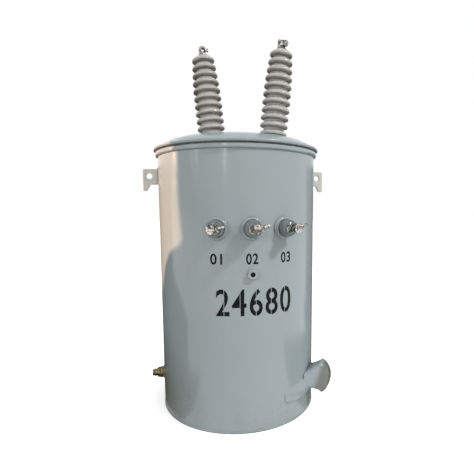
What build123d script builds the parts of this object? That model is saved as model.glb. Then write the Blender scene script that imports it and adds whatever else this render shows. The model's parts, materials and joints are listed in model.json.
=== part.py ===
from build123d import *
import os
from math import asin, cos, degrees, radians, sin

# Single-phase pole mounted distribution transformer.
# Millimetres, +Z up, origin at the centre of the underside of the tank.
# Azimuths are in degrees around the tank: 0 is the front (-Y), +90 the right (+X).

# ---- tank ----
tank_r = 240.0  # outside radius of the wall
tank_wall = 3.0
bottom_thick = 4.0
rim_bottom = 768.5  # underside of the rolled rim
rim_height = 11.5
rim_out = 7.0  # how far the rim stands out from the wall
rim_round = 5.0

# ---- cover ----
gasket_thick = 4.5
gasket_setback = 3.5  # gasket edge behind the rim edge
gasket_width = 6.0
cover_thick = 3.0
cover_overhang = 5.0  # cover edge past the rim edge
cover_bead_r = 4.25  # round of the rolled edge
cover_seat_width = 15.0  # flat ring that bears on the gasket, in from the edge
brim_width = 4.5
dome_rise = 42.0  # top of the brim to the crown
crown_r = 1500.0
crown_edge_r = 182.0  # where the crown meets the knuckle

# ---- high-voltage bushings, on the cover ----
hv_pair_azimuth = 66.6  # direction from the middle of the pair to the right one
hv_pair_middle = (18.0, -1.4)
hv_half_spacing = 97.5
hv_lean = 5.9
hv_base_rise = 9.3  # underside of the porcelain, on its own axis, above the top of the cover
hv_seat_r = 45.0
hv_seat_sink = 20.0  # rough length of the seat ring before the dome trims it
hv_gasket_thick = 2.5
hv_gasket_inset = 1.5
hv_shank_r = 21.0
hv_shank_length = 75.0
hv_shank_clearance = 0.6
hv_collar_r = 41.5
hv_collar_height = 9.0
hv_shed_count = 10
hv_tapered_sheds = 4  # how many of them, at the top, get smaller
hv_shed_r = 42.3
hv_shed_step = 2.6  # how much smaller each of those is
hv_shed_depth = 14.0  # rim to neck
hv_shed_pitch = 23.1
hv_first_shed = 32.3  # height of the lowest shed above the collar's underside
hv_shed_under = 4.5  # neck corner below the shed's middle
hv_shed_drop = 6.0  # rim's lower corner below the shed's middle
hv_shed_lip = 1.8  # rim's upper corner above the shed's middle
hv_shed_slope = 9.0  # upper neck corner above the shed's middle
hv_rim_round = 3.7
hv_neck_round = 3.6
hv_stud_r = 6.0
hv_stud_depth = 24.0
stud_clearance = 0.2

# ---- terminals, the same pattern on both kinds of bushing ----
washer_thick = 2.0
hv_washer_r = 12.5
hv_nut_flats = 19.0
hv_nut_height = 6.0
hv_eye_r = 11.5
hv_eye_thick = 13.0
hv_eye_hole_r = 5.0
hv_eye_neck = 14.0
hv_eye_azimuth = {"left": 0.0, "right": 55.0}  # which way each eye faces
hv_screw_r = 3.0
hv_screw_head_flats = 10.0
hv_screw_head = 5.0
hv_screw_gap = 1.5  # screw head to the eye
hv_screw_setback = 0.3  # end of the screw behind the wall of the wire hole

# ---- low-voltage bushings, on the wall ----
lv_azimuths = (-22.1, 0.0, 22.1)
lv_height = 564.0
lv_boss_r = 31.0
lv_boss_step_r = 27.5
lv_boss_flange = 2.5
lv_boss_height = 8.0
lv_boss_round = 1.2
lv_boss_edge_round = 2.0
lv_bore_r = 18.5
lv_bore_clearance = 0.5
lv_gasket_thick = 1.6
lv_gasket_r = 24.3
lv_body_r = 22.5
lv_body_length = 18.0
lv_nose_r = 15.5
lv_nose_length = 3.0
lv_nose_round = 1.0
lv_body_round = 2.5
lv_inside_length = 30.0
lv_stud_r = 8.0
lv_stud_depth = 20.0
lv_nut_flats = 24.0
lv_nut_height = 6.0
lv_eye_r = 12.5
lv_eye_length = 26.0
lv_eye_hole_r = 5.5
lv_screw_tilt = 14.0  # the clamp screw points to the right and a little up
lv_screw_r = 4.5
lv_screw_reach = 37.0  # from the bushing's axis to the end of the screw
lv_screw_nut_flats = 15.0
lv_screw_nut = 7.0
lv_screw_setback = 0.3  # end of the screw behind the wall of the wire hole
lv_eye_round = 3.0

# ---- ground boss ----
ground_azimuth = 0.0
ground_height = 442.9
ground_boss_r = 13.5
ground_boss_height = 10.0
ground_hole_r = 6.5
ground_hole_depth = 9.0
ground_chamfer = 1.5

# ---- lifting lugs ----
lug_azimuths = {"left": -90.0, "right": 90.0}
lug_thick = 8.0
lug_reach = 45.0  # outer edge from the wall
lug_top = 734.5
lug_drop = 46.0  # top to where the plate leaves the wall
lug_tip_drop = 65.0  # top to the end of the hook
lug_tip_width = 12.0
lug_notch = 22.5  # inner end of the notch, from the wall
lug_corner = 6.0
lug_tip_round = 3.5
lug_hole_r = 8.5
lug_hole_out = 25.8
lug_hole_drop = 21.0

# ---- drain ----
drain_azimuth = -90.0
drain_height = 99.5
drain_coupling_r = 17.0
drain_coupling_length = 12.0
drain_bore_r = 9.0
drain_inside = 10.0
drain_hex_flats = 27.0
drain_hex_length = 8.0
drain_nose_r = 11.0
drain_nose_length = 10.0
drain_plug_r = 6.0
drain_plug_depth = 8.0
drain_plug_head_flats = 17.0
drain_plug_head = 6.0

# ---- pole bracket ----
bracket_azimuth = 56.0
bracket_height = 109.0  # middle of the saddle, from which the heights below are taken
bracket_plate = 5.0
bracket_pad_angle = 32.4  # end of the pad, from the middle of the bracket
bracket_bend_angle = 12.0  # where the plate leaves the wall
bracket_shoulder_angle = 19.0
bracket_pad_top = -5.0  # top and bottom of the pad at its end
bracket_pad_bottom = -43.0
bracket_shoulder_bottom = -53.0
bracket_waist_top = 8.0  # top and bottom of the web at the bend
bracket_waist_bottom = -26.0
bracket_flare_bow = 6.0  # how far the web's lower edge bows up from a straight line
bracket_reach = 66.0  # outermost point of the saddle, from the wall
bracket_saddle_half = 22.0
bracket_saddle_height = 87.0
bracket_saddle_r = 62.0
bracket_fold_round = 14.0  # outside of the two folds between the webs and the saddle
bracket_corner_round = 6.0
bracket_shoulder_round = 12.0
bracket_pad_round = 5.0
slot_width = 19.0
slot_height = 40.0

# Pieces welded to the wall start this far inside it, and the wall then trims them.
trim_depth = 8.0

# ---- what follows from them ----
rim_r = tank_r + rim_out
rim_top = rim_bottom + rim_height
gasket_r = rim_r - gasket_setback
brim_bottom = rim_top + gasket_thick
brim_top = brim_bottom + cover_thick
cover_r = rim_r + cover_overhang
dome_r = cover_r - brim_width
dome_top = brim_top + dome_rise
hv_base_height = dome_top + hv_base_rise

os.makedirs("parts", exist_ok=True)


def save(piece, name):
    """Label a finished piece and write it as its own node."""
    piece.part.label = name
    export_step(piece.part, f"parts/{name}.step")


def outward(azimuth):
    return Vector(sin(radians(azimuth)), -cos(radians(azimuth)), 0)


def around(azimuth):
    return Vector(cos(radians(azimuth)), sin(radians(azimuth)), 0)


def wall_plane(azimuth, height, distance=tank_r):
    """Plane that faces away from the tank: x to its right, y up."""
    origin = outward(azimuth) * distance + Vector(0, 0, height)
    return Plane(origin=origin, x_dir=around(azimuth), z_dir=outward(azimuth))


def radial_plane(azimuth, height, distance=0.0):
    """Upright plane through the tank's axis: x outward, y up."""
    origin = outward(azimuth) * distance + Vector(0, 0, height)
    return Plane(origin=origin, x_dir=outward(azimuth), z_dir=-around(azimuth))


def radial_axis(azimuth, height):
    return Axis((0, 0, height), outward(azimuth))


def spun(plane, angle):
    """The same plane with its x and y turned in it."""
    x_dir = plane.x_dir * cos(radians(angle)) + plane.y_dir * sin(radians(angle))
    return Plane(origin=plane.origin, x_dir=x_dir, z_dir=plane.z_dir)


# The tank as a full cylinder. Pieces welded to the wall are trimmed by it.
with BuildPart() as tank_envelope:
    with BuildSketch():
        Circle(tank_r)
    extrude(amount=rim_bottom)

# ---- tank ----
with BuildPart() as tank_shell:
    with BuildSketch(Plane.XY.offset(bottom_thick)):
        Circle(tank_r)
        Circle(tank_r - tank_wall, mode=Mode.SUBTRACT)
    extrude(amount=rim_top - bottom_thick)
    for azimuth in lv_azimuths:
        with BuildSketch(wall_plane(azimuth, lv_height)):
            Circle(lv_bore_r + lv_bore_clearance)
        extrude(amount=trim_depth, both=True, mode=Mode.SUBTRACT)
    with BuildSketch(wall_plane(drain_azimuth, drain_height)):
        Circle(drain_bore_r)
    extrude(amount=trim_depth, both=True, mode=Mode.SUBTRACT)
save(tank_shell, "tank_shell")

with BuildPart() as tank_bottom:
    with BuildSketch():
        Circle(tank_r)
    extrude(amount=bottom_thick)
save(tank_bottom, "tank_bottom")

with BuildPart() as tank_rim:
    with BuildSketch(Plane.XZ) as rim_section:
        with Locations((tank_r, rim_bottom)):
            Rectangle(rim_out, rim_height, align=(Align.MIN, Align.MIN))
        fillet(rim_section.vertices().group_by(Axis.X)[-1].sort_by(Axis.Y)[0], rim_round)
    revolve(axis=Axis.Z)
save(tank_rim, "tank_rim")

with BuildPart() as cover_gasket:
    with BuildSketch(Plane.XY.offset(rim_top)):
        Circle(gasket_r)
        Circle(gasket_r - gasket_width, mode=Mode.SUBTRACT)
    extrude(amount=gasket_thick)
save(cover_gasket, "cover_gasket")


# ---- cover ----
def dome_lines():
    """Crown and knuckle in radius and height, from the axis out to the brim."""
    crown_sweep = degrees(asin(crown_edge_r / crown_r))
    crown = CenterArc((0, dome_top - crown_r), crown_r, 90, -crown_sweep)
    TangentArc(crown @ 1, (dome_r, brim_top), tangent=crown % 1)


# Everything under the top face of the dome. Pieces that stand on the cover are trimmed by it.
with BuildPart() as dome_envelope:
    with BuildSketch(Plane.XZ):
        with BuildLine():
            dome_lines()
            Polyline((dome_r, brim_top), (dome_r, rim_bottom), (0, rim_bottom), (0, dome_top))
        make_face()
    revolve(axis=Axis.Z)


def hv_direction(side):
    """Axis of a high-voltage bushing, leaning away from the other one."""
    lean = radians(hv_lean) * (1 if side == "right" else -1)
    return outward(hv_pair_azimuth) * sin(lean) + Vector(0, 0, cos(lean))


def hv_point(side, distance=0.0):
    """Point on a high-voltage bushing's axis, measured up from the porcelain's underside."""
    spacing = hv_half_spacing * (1 if side == "right" else -1)
    base = Vector(*hv_pair_middle, hv_base_height) + outward(hv_pair_azimuth) * spacing
    return base + hv_direction(side) * distance


def hv_plane(side, distance=0.0):
    """Plane square to the bushing's axis."""
    return Plane(origin=hv_point(side, distance), x_dir=around(hv_pair_azimuth), z_dir=hv_direction(side))


def hv_section(side):
    """Plane through the bushing's axis: x is radius, y runs up the axis."""
    x_dir = around(hv_pair_azimuth)
    return Plane(origin=hv_point(side), x_dir=x_dir, z_dir=x_dir.cross(hv_direction(side)))


def hv_axis(side):
    return Axis(hv_point(side), hv_direction(side))


def hv_eye_plane(side, distance):
    """Plane that holds the bushing's axis and faces along the eye's hole."""
    square = spun(hv_plane(side, distance), hv_eye_azimuth[side] - hv_pair_azimuth)
    return Plane(origin=square.origin, x_dir=square.x_dir, z_dir=square.x_dir.cross(square.z_dir))


hv_hole_r = hv_shank_r + hv_shank_clearance

with BuildPart() as cover:
    with BuildSketch(Plane.XZ):
        with BuildLine():
            dome_lines()
            Line((dome_r, brim_top), (cover_r - cover_bead_r, brim_top))
            offset(amount=cover_thick, side=Side.RIGHT)
        make_face()
        with Locations((cover_r - cover_bead_r, brim_bottom)):
            Rectangle(cover_seat_width - cover_bead_r, cover_thick, align=(Align.MAX, Align.MIN))
        with Locations((cover_r - cover_bead_r, brim_bottom + cover_bead_r)):
            Circle(cover_bead_r)
    revolve(axis=Axis.Z)
    for side in ("left", "right"):
        with BuildSketch(hv_plane(side)):
            Circle(hv_hole_r)
        extrude(amount=hv_shank_length, both=True, mode=Mode.SUBTRACT)
save(cover, "cover")


# ---- high-voltage bushings ----
def shed_points():
    """Corners of the porcelain's outline and the radius that rounds each one."""
    points = [(hv_collar_r, 0), (hv_collar_r, hv_collar_height)]
    rounds = [hv_rim_round]
    for shed in range(hv_shed_count):
        steps_in = max(0, shed + 1 + hv_tapered_sheds - hv_shed_count)
        rim = hv_shed_r - hv_shed_step * steps_in
        neck = rim - hv_shed_depth
        middle = hv_first_shed + hv_shed_pitch * shed
        points.append((neck, middle - hv_shed_under))
        points.append((rim, middle - hv_shed_drop))
        points.append((rim, middle + hv_shed_lip))
        points.append((neck, middle + hv_shed_slope))
        rounds += [hv_neck_round, hv_rim_round, hv_rim_round, hv_neck_round]
    return points, rounds[:-1]


outline_points, outline_rounds = shed_points()
porcelain_top = outline_points[-1][1]
hv_washer_top = porcelain_top + washer_thick
hv_nut_top = hv_washer_top + hv_nut_height
hv_eye_middle = hv_nut_top + hv_eye_r
hv_screw_tip = hv_eye_hole_r + hv_screw_setback

for side in ("left", "right"):
    with BuildPart() as hv_seat:
        with BuildSketch(hv_plane(side, -hv_gasket_thick)):
            Circle(hv_seat_r)
            Circle(hv_hole_r, mode=Mode.SUBTRACT)
        extrude(amount=-hv_seat_sink)
        add(dome_envelope.part, mode=Mode.SUBTRACT)
    save(hv_seat, f"hv_seat_{side}")

    with BuildPart() as hv_gasket:
        with BuildSketch(hv_plane(side, -hv_gasket_thick)):
            Circle(hv_collar_r - hv_gasket_inset)
            Circle(hv_hole_r, mode=Mode.SUBTRACT)
        extrude(amount=hv_gasket_thick)
    save(hv_gasket, f"hv_gasket_{side}")

    with BuildPart() as hv_porcelain:
        with BuildSketch(hv_section(side)):
            with BuildLine():
                FilletPolyline(*outline_points, radius=outline_rounds)
                Polyline(
                    outline_points[-1],
                    (hv_stud_r + stud_clearance, porcelain_top),
                    (hv_stud_r + stud_clearance, porcelain_top - hv_stud_depth),
                    (0, porcelain_top - hv_stud_depth),
                    (0, -hv_shank_length),
                    (hv_shank_r, -hv_shank_length),
                    (hv_shank_r, 0),
                    (hv_collar_r, 0),
                )
            make_face()
        revolve(axis=hv_axis(side))
    save(hv_porcelain, f"hv_porcelain_{side}")

    with BuildPart() as hv_stud:
        with BuildSketch(hv_plane(side, porcelain_top)):
            Circle(hv_stud_r)
        extrude(amount=-hv_stud_depth)
        with BuildSketch(hv_plane(side, porcelain_top)):
            Circle(hv_washer_r)
        extrude(amount=washer_thick)
        with BuildSketch(hv_plane(side, hv_washer_top)):
            RegularPolygon(hv_nut_flats / 2, 6, major_radius=False)
        extrude(amount=hv_nut_height)
    save(hv_stud, f"hv_stud_{side}")

    eye_plane = hv_eye_plane(side, hv_eye_middle)
    screw_plane = Plane(origin=eye_plane.origin, x_dir=eye_plane.z_dir, z_dir=eye_plane.x_dir)
    with BuildPart() as hv_eye:
        with BuildSketch(eye_plane):
            Circle(hv_eye_r)
            with Locations((0, -hv_eye_r / 2)):
                Rectangle(hv_eye_neck, hv_eye_r)
            Circle(hv_eye_hole_r, mode=Mode.SUBTRACT)
        extrude(amount=hv_eye_thick / 2, both=True)
        with BuildSketch(screw_plane):
            Circle(hv_screw_r + stud_clearance)
        extrude(amount=2 * hv_eye_r, mode=Mode.SUBTRACT)
    save(hv_eye, f"hv_eye_{side}")

    with BuildPart() as hv_screw:
        with BuildSketch(screw_plane.offset(hv_screw_tip)):
            Circle(hv_screw_r)
        extrude(amount=hv_eye_r + hv_screw_gap - hv_screw_tip)
        with BuildSketch(screw_plane.offset(hv_eye_r + hv_screw_gap)):
            RegularPolygon(hv_screw_head_flats / 2, 6, major_radius=False)
        extrude(amount=hv_screw_head)
    save(hv_screw, f"hv_screw_{side}")


# ---- low-voltage bushings ----
lv_hole_r = lv_bore_r + lv_bore_clearance
lv_body_start = lv_boss_height + lv_gasket_thick
lv_nose_start = lv_body_start + lv_body_length
lv_nose_end = lv_nose_start + lv_nose_length
lv_washer_top = lv_nose_end + washer_thick
lv_nut_top = lv_washer_top + lv_nut_height
lv_screw_tip = lv_eye_hole_r + lv_screw_setback

for number, azimuth in enumerate(lv_azimuths, 1):
    section = radial_plane(azimuth, lv_height, tank_r)
    axis = radial_axis(azimuth, lv_height)

    with BuildPart() as lv_boss:
        with BuildSketch(section):
            with BuildLine():
                FilletPolyline(
                    (-trim_depth, lv_boss_r),
                    (lv_boss_flange, lv_boss_r),
                    (lv_boss_flange, lv_boss_step_r),
                    (lv_boss_height, lv_boss_step_r),
                    (lv_boss_height, lv_hole_r),
                    radius=[lv_boss_round, lv_boss_round, lv_boss_edge_round],
                )
                Polyline((lv_boss_height, lv_hole_r), (-trim_depth, lv_hole_r), (-trim_depth, lv_boss_r))
            make_face()
        revolve(axis=axis)
        add(tank_envelope.part, mode=Mode.SUBTRACT)
    save(lv_boss, f"lv_boss_{number}")

    with BuildPart() as lv_gasket:
        with BuildSketch(wall_plane(azimuth, lv_height, tank_r + lv_boss_height)):
            Circle(lv_gasket_r)
            Circle(lv_hole_r, mode=Mode.SUBTRACT)
        extrude(amount=lv_gasket_thick)
    save(lv_gasket, f"lv_gasket_{number}")

    with BuildPart() as lv_insulator:
        with BuildSketch(section):
            with BuildLine():
                FilletPolyline(
                    (lv_body_start, lv_bore_r),
                    (lv_body_start, lv_body_r),
                    (lv_nose_start, lv_body_r),
                    (lv_nose_start, lv_nose_r),
                    (lv_nose_end, lv_nose_r),
                    (lv_nose_end, lv_stud_r + stud_clearance),
                    radius=[lv_nose_round, lv_body_round, lv_nose_round, lv_nose_round],
                )
                Polyline(
                    (lv_nose_end, lv_stud_r + stud_clearance),
                    (lv_nose_end - lv_stud_depth, lv_stud_r + stud_clearance),
                    (lv_nose_end - lv_stud_depth, 0),
                    (-lv_inside_length, 0),
                    (-lv_inside_length, lv_bore_r),
                    (lv_body_start, lv_bore_r),
                )
            make_face()
        revolve(axis=axis)
    save(lv_insulator, f"lv_insulator_{number}")

    with BuildPart() as lv_stud:
        with BuildSketch(wall_plane(azimuth, lv_height, tank_r + lv_nose_end)):
            Circle(lv_stud_r)
        extrude(amount=-lv_stud_depth)
        with BuildSketch(wall_plane(azimuth, lv_height, tank_r + lv_nose_end)):
            Circle(lv_nose_r - lv_nose_round)
        extrude(amount=washer_thick)
        with BuildSketch(wall_plane(azimuth, lv_height, tank_r + lv_washer_top)):
            RegularPolygon(lv_nut_flats / 2, 6, major_radius=False)
        extrude(amount=lv_nut_height)
    save(lv_stud, f"lv_stud_{number}")

    # The clamp: a stub on the nut with a conductor hole across it and a screw into that hole.
    eye_middle = wall_plane(azimuth, lv_height, tank_r + lv_nut_top + lv_eye_length / 2)
    eye_middle = spun(eye_middle, lv_screw_tilt)
    screw_plane = Plane(origin=eye_middle.origin, x_dir=eye_middle.z_dir, z_dir=eye_middle.x_dir)
    hole_plane = Plane(origin=eye_middle.origin, x_dir=eye_middle.x_dir, z_dir=eye_middle.y_dir)
    with BuildPart() as lv_eye:
        with BuildSketch(eye_middle):
            Circle(lv_eye_r)
        extrude(amount=lv_eye_length / 2, both=True)
        fillet(lv_eye.edges().filter_by(GeomType.CIRCLE), lv_eye_round)
        with BuildSketch(hole_plane):
            Circle(lv_eye_hole_r)
        extrude(amount=lv_eye_r, both=True, mode=Mode.SUBTRACT)
        with BuildSketch(screw_plane):
            Circle(lv_screw_r + stud_clearance)
        extrude(amount=2 * lv_eye_r, mode=Mode.SUBTRACT)
    save(lv_eye, f"lv_eye_{number}")

    with BuildPart() as lv_screw:
        with BuildSketch(screw_plane.offset(lv_screw_tip)):
            Circle(lv_screw_r)
        extrude(amount=lv_screw_reach - lv_screw_tip)
        with BuildSketch(screw_plane.offset(lv_eye_r)):
            RegularPolygon(lv_screw_nut_flats / 2, 6, major_radius=False)
        extrude(amount=lv_screw_nut)
    save(lv_screw, f"lv_screw_{number}")


# ---- ground boss ----
with BuildPart() as ground_boss:
    with BuildSketch(wall_plane(ground_azimuth, ground_height, tank_r - trim_depth)):
        Circle(ground_boss_r)
    extrude(amount=trim_depth + ground_boss_height)
    with BuildSketch(wall_plane(ground_azimuth, ground_height, tank_r + ground_boss_height)):
        Circle(ground_hole_r)
    extrude(amount=-ground_hole_depth, mode=Mode.SUBTRACT)
    front_face = ground_boss.faces().sort_by(radial_axis(ground_azimuth, ground_height))[-1]
    chamfer(front_face.edges(), ground_chamfer)
    add(tank_envelope.part, mode=Mode.SUBTRACT)
save(ground_boss, "ground_boss")


# ---- lifting lugs ----
for side, azimuth in lug_azimuths.items():
    outer = tank_r + lug_reach
    with BuildPart() as lifting_lug:
        with BuildSketch(radial_plane(azimuth, lug_top)):
            with BuildLine():
                FilletPolyline(
                    (tank_r - trim_depth, 0),
                    (outer, 0),
                    (outer, -lug_tip_drop),
                    (outer - lug_tip_width, -lug_tip_drop),
                    (tank_r + lug_notch, -lug_drop),
                    (tank_r - trim_depth, -lug_drop),
                    radius=[lug_corner, lug_tip_round, lug_tip_round, lug_tip_round],
                )
                Line((tank_r - trim_depth, -lug_drop), (tank_r - trim_depth, 0))
            make_face()
            with Locations((tank_r + lug_hole_out, -lug_hole_drop)):
                Circle(lug_hole_r, mode=Mode.SUBTRACT)
        extrude(amount=lug_thick / 2, both=True)
        add(tank_envelope.part, mode=Mode.SUBTRACT)
    save(lifting_lug, f"lifting_lug_{side}")


# ---- drain ----
drain_hex_end = drain_coupling_length + drain_hex_length
drain_nose_end = drain_hex_end + drain_nose_length

with BuildPart() as drain_coupling:
    with BuildSketch(wall_plane(drain_azimuth, drain_height, tank_r - trim_depth)):
        Circle(drain_coupling_r)
        Circle(drain_bore_r, mode=Mode.SUBTRACT)
    extrude(amount=trim_depth + drain_coupling_length)
    add(tank_envelope.part, mode=Mode.SUBTRACT)
save(drain_coupling, "drain_coupling")

with BuildPart() as drain_body:
    with BuildSketch(wall_plane(drain_azimuth, drain_height, tank_r - drain_inside)):
        Circle(drain_bore_r - stud_clearance)
    extrude(amount=drain_inside + drain_coupling_length)
    with BuildSketch(wall_plane(drain_azimuth, drain_height, tank_r + drain_coupling_length)):
        RegularPolygon(drain_hex_flats / 2, 6, major_radius=False)
    extrude(amount=drain_hex_length)
    with BuildSketch(wall_plane(drain_azimuth, drain_height, tank_r + drain_hex_end)):
        Circle(drain_nose_r)
    extrude(amount=drain_nose_length)
    with BuildSketch(wall_plane(drain_azimuth, drain_height, tank_r + drain_nose_end)):
        Circle(drain_plug_r + stud_clearance)
    extrude(amount=-drain_plug_depth, mode=Mode.SUBTRACT)
save(drain_body, "drain_body")

with BuildPart() as drain_plug:
    with BuildSketch(wall_plane(drain_azimuth, drain_height, tank_r + drain_nose_end)):
        Circle(drain_plug_r)
    extrude(amount=-drain_plug_depth)
    with BuildSketch(wall_plane(drain_azimuth, drain_height, tank_r + drain_nose_end)):
        RegularPolygon(drain_plug_head_flats / 2, 6, major_radius=False)
    extrude(amount=drain_plug_head)
save(drain_plug, "drain_plug")


# ---- pole bracket ----
# Two pads lie on the wall, two webs lean in from them, and a saddle that is
# rounded from top to bottom joins the webs and bears on the pole.
saddle_out = tank_r + bracket_reach
bend_out = tank_r * cos(radians(bracket_bend_angle))
bend_across = tank_r * sin(radians(bracket_bend_angle))
web_slope = (bend_across - bracket_saddle_half) / (saddle_out - bend_out)
plan_plane = Plane(origin=(0, 0, bracket_height), x_dir=around(bracket_azimuth), z_dir=(0, 0, -1))
side_plane = radial_plane(bracket_azimuth, bracket_height)


def web_plan(inset):
    """The webs' outline seen from above, past the saddle and into the wall; inset by the plate."""
    outer = saddle_out + bracket_plate / 10
    inner = bend_out - 4 * bracket_plate
    outer_half = bend_across - web_slope * (outer - bend_out)
    inner_half = bend_across - web_slope * (inner - bend_out)
    with BuildSketch(plan_plane) as plan:
        with BuildLine():
            Polyline(
                (-inner_half, inner),
                (-outer_half, outer),
                (outer_half, outer),
                (inner_half, inner),
                close=True,
            )
        make_face()
        fillet(plan.vertices().group_by(Axis.Y)[-1], bracket_fold_round)
        if inset:
            offset(amount=-inset, mode=Mode.REPLACE)
    return plan.sketch


half_height = bracket_saddle_height / 2
saddle_middle = saddle_out - bracket_saddle_r
corner_out = saddle_middle + (bracket_saddle_r**2 - half_height**2) ** 0.5

with BuildPart() as bracket_outside:
    add(web_plan(0))
    extrude(amount=half_height, both=True)
    with BuildSketch(side_plane) as side_outline:
        with BuildLine():
            root_out = bend_out - 4 * bracket_plate
            bow_out = (bend_out + corner_out) / 2
            bow_height = (bracket_waist_bottom - half_height) / 2 + bracket_flare_bow
            Polyline(
                (bend_out, bracket_waist_bottom),
                (root_out, bracket_waist_bottom),
                (root_out, bracket_waist_top),
                (bend_out, bracket_waist_top),
                (corner_out, half_height),
            )
            ThreePointArc((corner_out, half_height), (saddle_out, 0), (corner_out, -half_height))
            ThreePointArc(
                (corner_out, -half_height),
                (bow_out, bow_height),
                (bend_out, bracket_waist_bottom),
            )
        make_face()
        fillet(side_outline.vertices().group_by(Axis.X)[-1], bracket_corner_round)
    extrude(amount=2 * bend_across, both=True, mode=Mode.INTERSECT)

with BuildPart() as bracket_inside:
    add(web_plan(bracket_plate))
    extrude(amount=bracket_saddle_height, both=True)
    with BuildSketch(side_plane):
        with Locations((saddle_middle, 0)):
            Circle(bracket_saddle_r - bracket_plate)
        with Locations((saddle_middle / 2, 0)):
            Rectangle(saddle_middle, 2 * (bracket_saddle_r - bracket_plate))
    extrude(amount=2 * bend_across, both=True, mode=Mode.INTERSECT)

with BuildPart() as bracket_pads:
    with BuildSketch(Plane.XY.offset(bracket_height)):
        Circle(tank_r + bracket_plate)
        Circle(tank_r, mode=Mode.SUBTRACT)
    extrude(amount=bracket_saddle_height, both=True)
    with BuildSketch(wall_plane(bracket_azimuth, bracket_height, 0)):
        for hand in (-1, 1):
            across_end = hand * tank_r * sin(radians(bracket_pad_angle))
            across_shoulder = hand * tank_r * sin(radians(bracket_shoulder_angle))
            across_bend = hand * (bend_across - bracket_plate)
            with BuildLine():
                FilletPolyline(
                    (across_bend, bracket_waist_top),
                    (across_end, bracket_pad_top),
                    (across_end, bracket_pad_bottom),
                    (across_shoulder, bracket_shoulder_bottom),
                    (across_bend, bracket_waist_bottom),
                    radius=[bracket_pad_round, bracket_pad_round, bracket_shoulder_round],
                )
                Line((across_bend, bracket_waist_bottom), (across_bend, bracket_waist_top))
            make_face()
    extrude(amount=2 * tank_r, mode=Mode.INTERSECT)

with BuildPart() as pole_bracket:
    add(bracket_outside.part)
    add(bracket_inside.part, mode=Mode.SUBTRACT)
    add(bracket_pads.part)
    add(tank_envelope.part, mode=Mode.SUBTRACT)
    with BuildSketch(wall_plane(bracket_azimuth, bracket_height, saddle_out + bracket_plate)):
        SlotOverall(slot_height, slot_width, rotation=90)
    extrude(amount=-4 * bracket_plate, mode=Mode.SUBTRACT)
save(pole_bracket, "pole_bracket")
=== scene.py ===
# %% [markdown]
# # A pole mounted transformer
# A transformer of this kind hangs on a pole and turns the high voltage of the line into
# what houses use. It is a round steel tank with a domed cover, two ribbed porcelain
# bushings on top, three small bushings on the wall and a bracket for the pole's bolt.
#
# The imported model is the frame: every piece is already there, in metres, at its real
# size. This notebook gives each piece its finish, swaps some of them for finer meshes,
# and adds the small things that a hand would find on the real tank.

# %% Load the frame
import json
import math

import bmesh
import bpy
from mathutils import Matrix, Vector, noise


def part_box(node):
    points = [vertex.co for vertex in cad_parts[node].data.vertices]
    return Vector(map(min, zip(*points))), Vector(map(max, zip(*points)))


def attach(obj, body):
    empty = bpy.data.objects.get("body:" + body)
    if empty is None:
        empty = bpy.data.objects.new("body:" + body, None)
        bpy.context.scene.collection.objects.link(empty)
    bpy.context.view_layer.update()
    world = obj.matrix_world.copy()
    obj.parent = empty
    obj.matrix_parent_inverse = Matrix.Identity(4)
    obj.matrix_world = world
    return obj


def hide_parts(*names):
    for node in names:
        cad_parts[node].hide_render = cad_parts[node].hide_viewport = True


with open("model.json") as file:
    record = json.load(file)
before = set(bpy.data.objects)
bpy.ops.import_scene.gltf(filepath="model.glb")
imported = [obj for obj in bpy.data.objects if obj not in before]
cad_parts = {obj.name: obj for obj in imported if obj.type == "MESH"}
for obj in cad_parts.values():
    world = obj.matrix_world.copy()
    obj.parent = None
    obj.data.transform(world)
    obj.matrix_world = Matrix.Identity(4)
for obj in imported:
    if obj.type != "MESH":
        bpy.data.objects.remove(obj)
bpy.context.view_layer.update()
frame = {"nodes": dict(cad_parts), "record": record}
nodes = frame["nodes"]

# %% [markdown]
# ## Where things are
# A piece fits only where the frame says that it goes. Places could be typed in, but they
# would be wrong as soon as the frame changed, so they are read from the boxes of the
# nodes and the mounts in the record. A ring that leans still has its box centred on its
# own axis, so two such centres give the lean of a bushing without any angle written here.

# %% Read places from the frame
UP = Vector((0, 0, 1))


def corners_of(node):
    """Lowest and highest corner of a node's box."""
    return tuple(Vector(corner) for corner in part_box(node))


def middle(node):
    """Centre of a node's box."""
    low, high = corners_of(node)
    return (low + high) / 2


def outward(azimuth):
    """Unit vector away from the tank; azimuth 0 is the front, -Y, and +90 the right."""
    return Vector((math.sin(math.radians(azimuth)), -math.cos(math.radians(azimuth)), 0))


def azimuth_of(point):
    """Azimuth in degrees of a point beside the tank."""
    return math.degrees(math.atan2(point.x, -point.y))


mounts = {m["name"]: Vector(m["pos_m"]) for m in frame["record"]["mounts"]}
tank_radius = corners_of("tank_bottom")[1].x
print("tank radius", round(tank_radius, 4), "and", len(mounts), "mounts")


# %% Points on the wall
def wall(azimuth, height, lift=0.0):
    """A point on the round wall, or above it by the lift."""
    return outward(azimuth) * (tank_radius + lift) + UP * height


print("front of the wall at half height:", [round(c, 3) for c in wall(0, 0.39)])

# %% [markdown]
# ## Camera
# The camera stands a little left of the front, as high as the upper part of the tank, and
# looks slightly down. It could be aimed by a constraint, but a matrix made from a
# heading, a pitch and a roll says plainly where it looks, and nothing moves it later.

# %% Make the camera
CAMERA_PLACE = Vector((-0.1976, -1.2227, 0.6134))
CAMERA_HEADING = 12.88
CAMERA_PITCH = 6.21
CAMERA_ROLL = -0.195


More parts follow.
